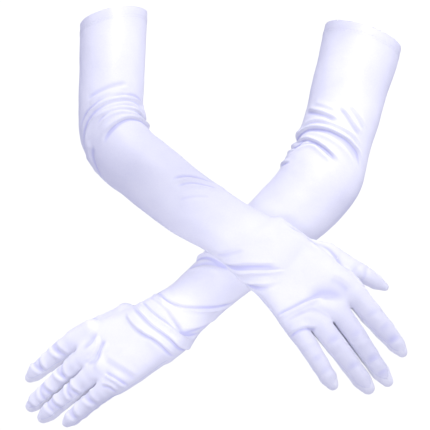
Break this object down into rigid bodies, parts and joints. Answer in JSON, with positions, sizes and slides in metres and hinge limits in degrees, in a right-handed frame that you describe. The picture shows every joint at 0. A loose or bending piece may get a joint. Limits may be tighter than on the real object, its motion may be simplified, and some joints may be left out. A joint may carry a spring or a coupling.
{
  "type": "opera gloves",
  "caption": "Pair of long stretch-satin opera gloves with turned elastic hems, gathered elbows and wrists, set-in thumbs and fourchettes, shaped as worn on crossed arms.",
  "frame": {"origin": "centre of the right glove's opening, at the rim of its hem", "axes": "+Z out of the right glove's opening along its upper sleeve, -Y faces the backs of the hands, +X from the right glove's opening towards the left glove's"},
  "size_m": [0.3939, 0.2077, 0.4144],
  "materials": {
    "satin": "white stretch satin with a soft sheen",
    "satin_fourchette": "white stretch satin, strips between the fingers",
    "satin_hem": "white stretch satin, turned and stitched",
    "seam_allowance": "matt wrong side of the satin, cut edge",
    "thread": "white polyester thread",
    "elastic": "white covered elastic"
  },
  "bodies": {
    "right_upper": {"right_upper_sleeve": "satin", "right_cuff_hem": "satin_hem", "right_cuff_elastic": "elastic", "right_hem_stitching": "thread", "right_upper_seam": "seam_allowance", "right_elbow_gather": "satin"},
    "right_forearm": {"right_forearm_sleeve": "satin", "right_forearm_seam": "seam_allowance", "right_wrist_gather": "satin"},
    "right_hand": {"right_hand_back": "satin", "right_hand_palm": "satin"},
    "right_thumb": {"right_thumb_stall": "satin", "right_thumb_seam": "thread"},
    "right_index": {"right_index_stall": "satin", "right_index_fourchette": "satin_fourchette"},
    "right_middle": {"right_middle_stall": "satin", "right_middle_fourchette_thumb_side": "satin_fourchette", "right_middle_fourchette_little_side": "satin_fourchette"},
    "right_ring": {"right_ring_stall": "satin", "right_ring_fourchette_thumb_side": "satin_fourchette", "right_ring_fourchette_little_side": "satin_fourchette"},
    "right_little": {"right_little_stall": "satin", "right_little_fourchette": "satin_fourchette"},
    "left_upper": {"left_upper_sleeve": "satin", "left_cuff_hem": "satin_hem", "left_cuff_elastic": "elastic", "left_hem_stitching": "thread", "left_upper_seam": "seam_allowance", "left_elbow_gather": "satin"},
    "left_forearm": {"left_forearm_sleeve": "satin", "left_forearm_seam": "seam_allowance", "left_wrist_gather": "satin"},
    "left_hand": {"left_hand_back": "satin", "left_hand_palm": "satin"},
    "left_thumb": {"left_thumb_stall": "satin", "left_thumb_seam": "thread"},
    "left_index": {"left_index_stall": "satin", "left_index_fourchette": "satin_fourchette"},
    "left_middle": {"left_middle_stall": "satin", "left_middle_fourchette_thumb_side": "satin_fourchette", "left_middle_fourchette_little_side": "satin_fourchette"},
    "left_ring": {"left_ring_stall": "satin", "left_ring_fourchette_thumb_side": "satin_fourchette", "left_ring_fourchette_little_side": "satin_fourchette"},
    "left_little": {"left_little_stall": "satin", "left_little_fourchette": "satin_fourchette"}
  },
  "joints": [
    {"name": "right_elbow", "type": "hinge", "parent": "right_upper", "child": "right_forearm", "pos_m": [0, 0, -0.139], "axis": [0, -1, 0], "range_deg": [-51, 43], "deforming": ["right_elbow_gather"]},
    {"name": "right_wrist", "type": "hinge", "parent": "right_forearm", "child": "right_hand", "pos_m": [0.16279, 0, -0.25172], "axis": [0.7593, 0, 0.6508], "range_deg": [-35, 45], "deforming": ["right_wrist_gather"]},
    {"name": "right_thumb_knuckle", "type": "hinge", "parent": "right_hand", "child": "right_thumb", "pos_m": [0.2226, 0.012, -0.24852], "axis": [0.506, 0, 0.8625], "range_deg": [-10, 46]},
    {"name": "right_index_knuckle", "type": "hinge", "parent": "right_hand", "child": "right_index", "pos_m": [0.24278, 0.006, -0.2905], "axis": [0.788, 0, 0.6157], "range_deg": [-10, 60]},
    {"name": "right_middle_knuckle", "type": "hinge", "parent": "right_hand", "child": "right_middle", "pos_m": [0.22785, 0.006, -0.31119], "axis": [0.8261, 0, 0.5635], "range_deg": [-10, 60]},
    {"name": "right_ring_knuckle", "type": "hinge", "parent": "right_hand", "child": "right_ring", "pos_m": [0.20925, 0.006, -0.32252], "axis": [0.8111, 0, 0.585], "range_deg": [-10, 60]},
    {"name": "right_little_knuckle", "type": "hinge", "parent": "right_hand", "child": "right_little", "pos_m": [0.1867, 0.006, -0.32802], "axis": [0.8536, 0, 0.521], "range_deg": [-10, 60]},
    {"name": "left_glove_apart", "type": "slide", "parent": "right_upper", "child": "left_upper", "axis": [0, 1, 0], "range_m": [0, 0.25]},
    {"name": "left_elbow", "type": "hinge", "parent": "left_upper", "child": "left_forearm", "pos_m": [0.21834, 0.077, -0.14755], "axis": [0, 1, 0], "range_deg": [-29, 65], "deforming": ["left_elbow_gather"]},
    {"name": "left_wrist", "type": "hinge", "parent": "left_forearm", "child": "left_hand", "pos_m": [0.04546, 0.077, -0.30376], "axis": [0.3534, -0.2243, -0.9082], "range_deg": [-57, 23], "deforming": ["left_wrist_gather"]},
    {"name": "left_thumb_knuckle", "type": "hinge", "parent": "left_hand", "child": "left_thumb", "pos_m": [0.00362, 0.11212, -0.27642], "axis": [0.2346, -0.17, -0.9571], "range_deg": [-4, 38]},
    {"name": "left_index_knuckle", "type": "hinge", "parent": "left_hand", "child": "left_index", "pos_m": [-0.03205, 0.12089, -0.30568], "axis": [0.3389, -0.2177, -0.9153], "range_deg": [-17, 46]},
    {"name": "left_middle_knuckle", "type": "hinge", "parent": "left_hand", "child": "left_middle", "pos_m": [-0.02826, 0.11758, -0.33069], "axis": [0.3606, -0.2276, -0.9045], "range_deg": [-19, 43]},
    {"name": "left_ring_knuckle", "type": "hinge", "parent": "left_hand", "child": "left_ring", "pos_m": [-0.01776, 0.11144, -0.34876], "axis": [0.3243, -0.2111, -0.9221], "range_deg": [-19, 42]},
    {"name": "left_little_knuckle", "type": "hinge", "parent": "left_hand", "child": "left_little", "pos_m": [-0.00174, 0.10287, -0.36321], "axis": [0.3316, -0.2144, -0.9187], "range_deg": [-19, 42]}
  ]
}
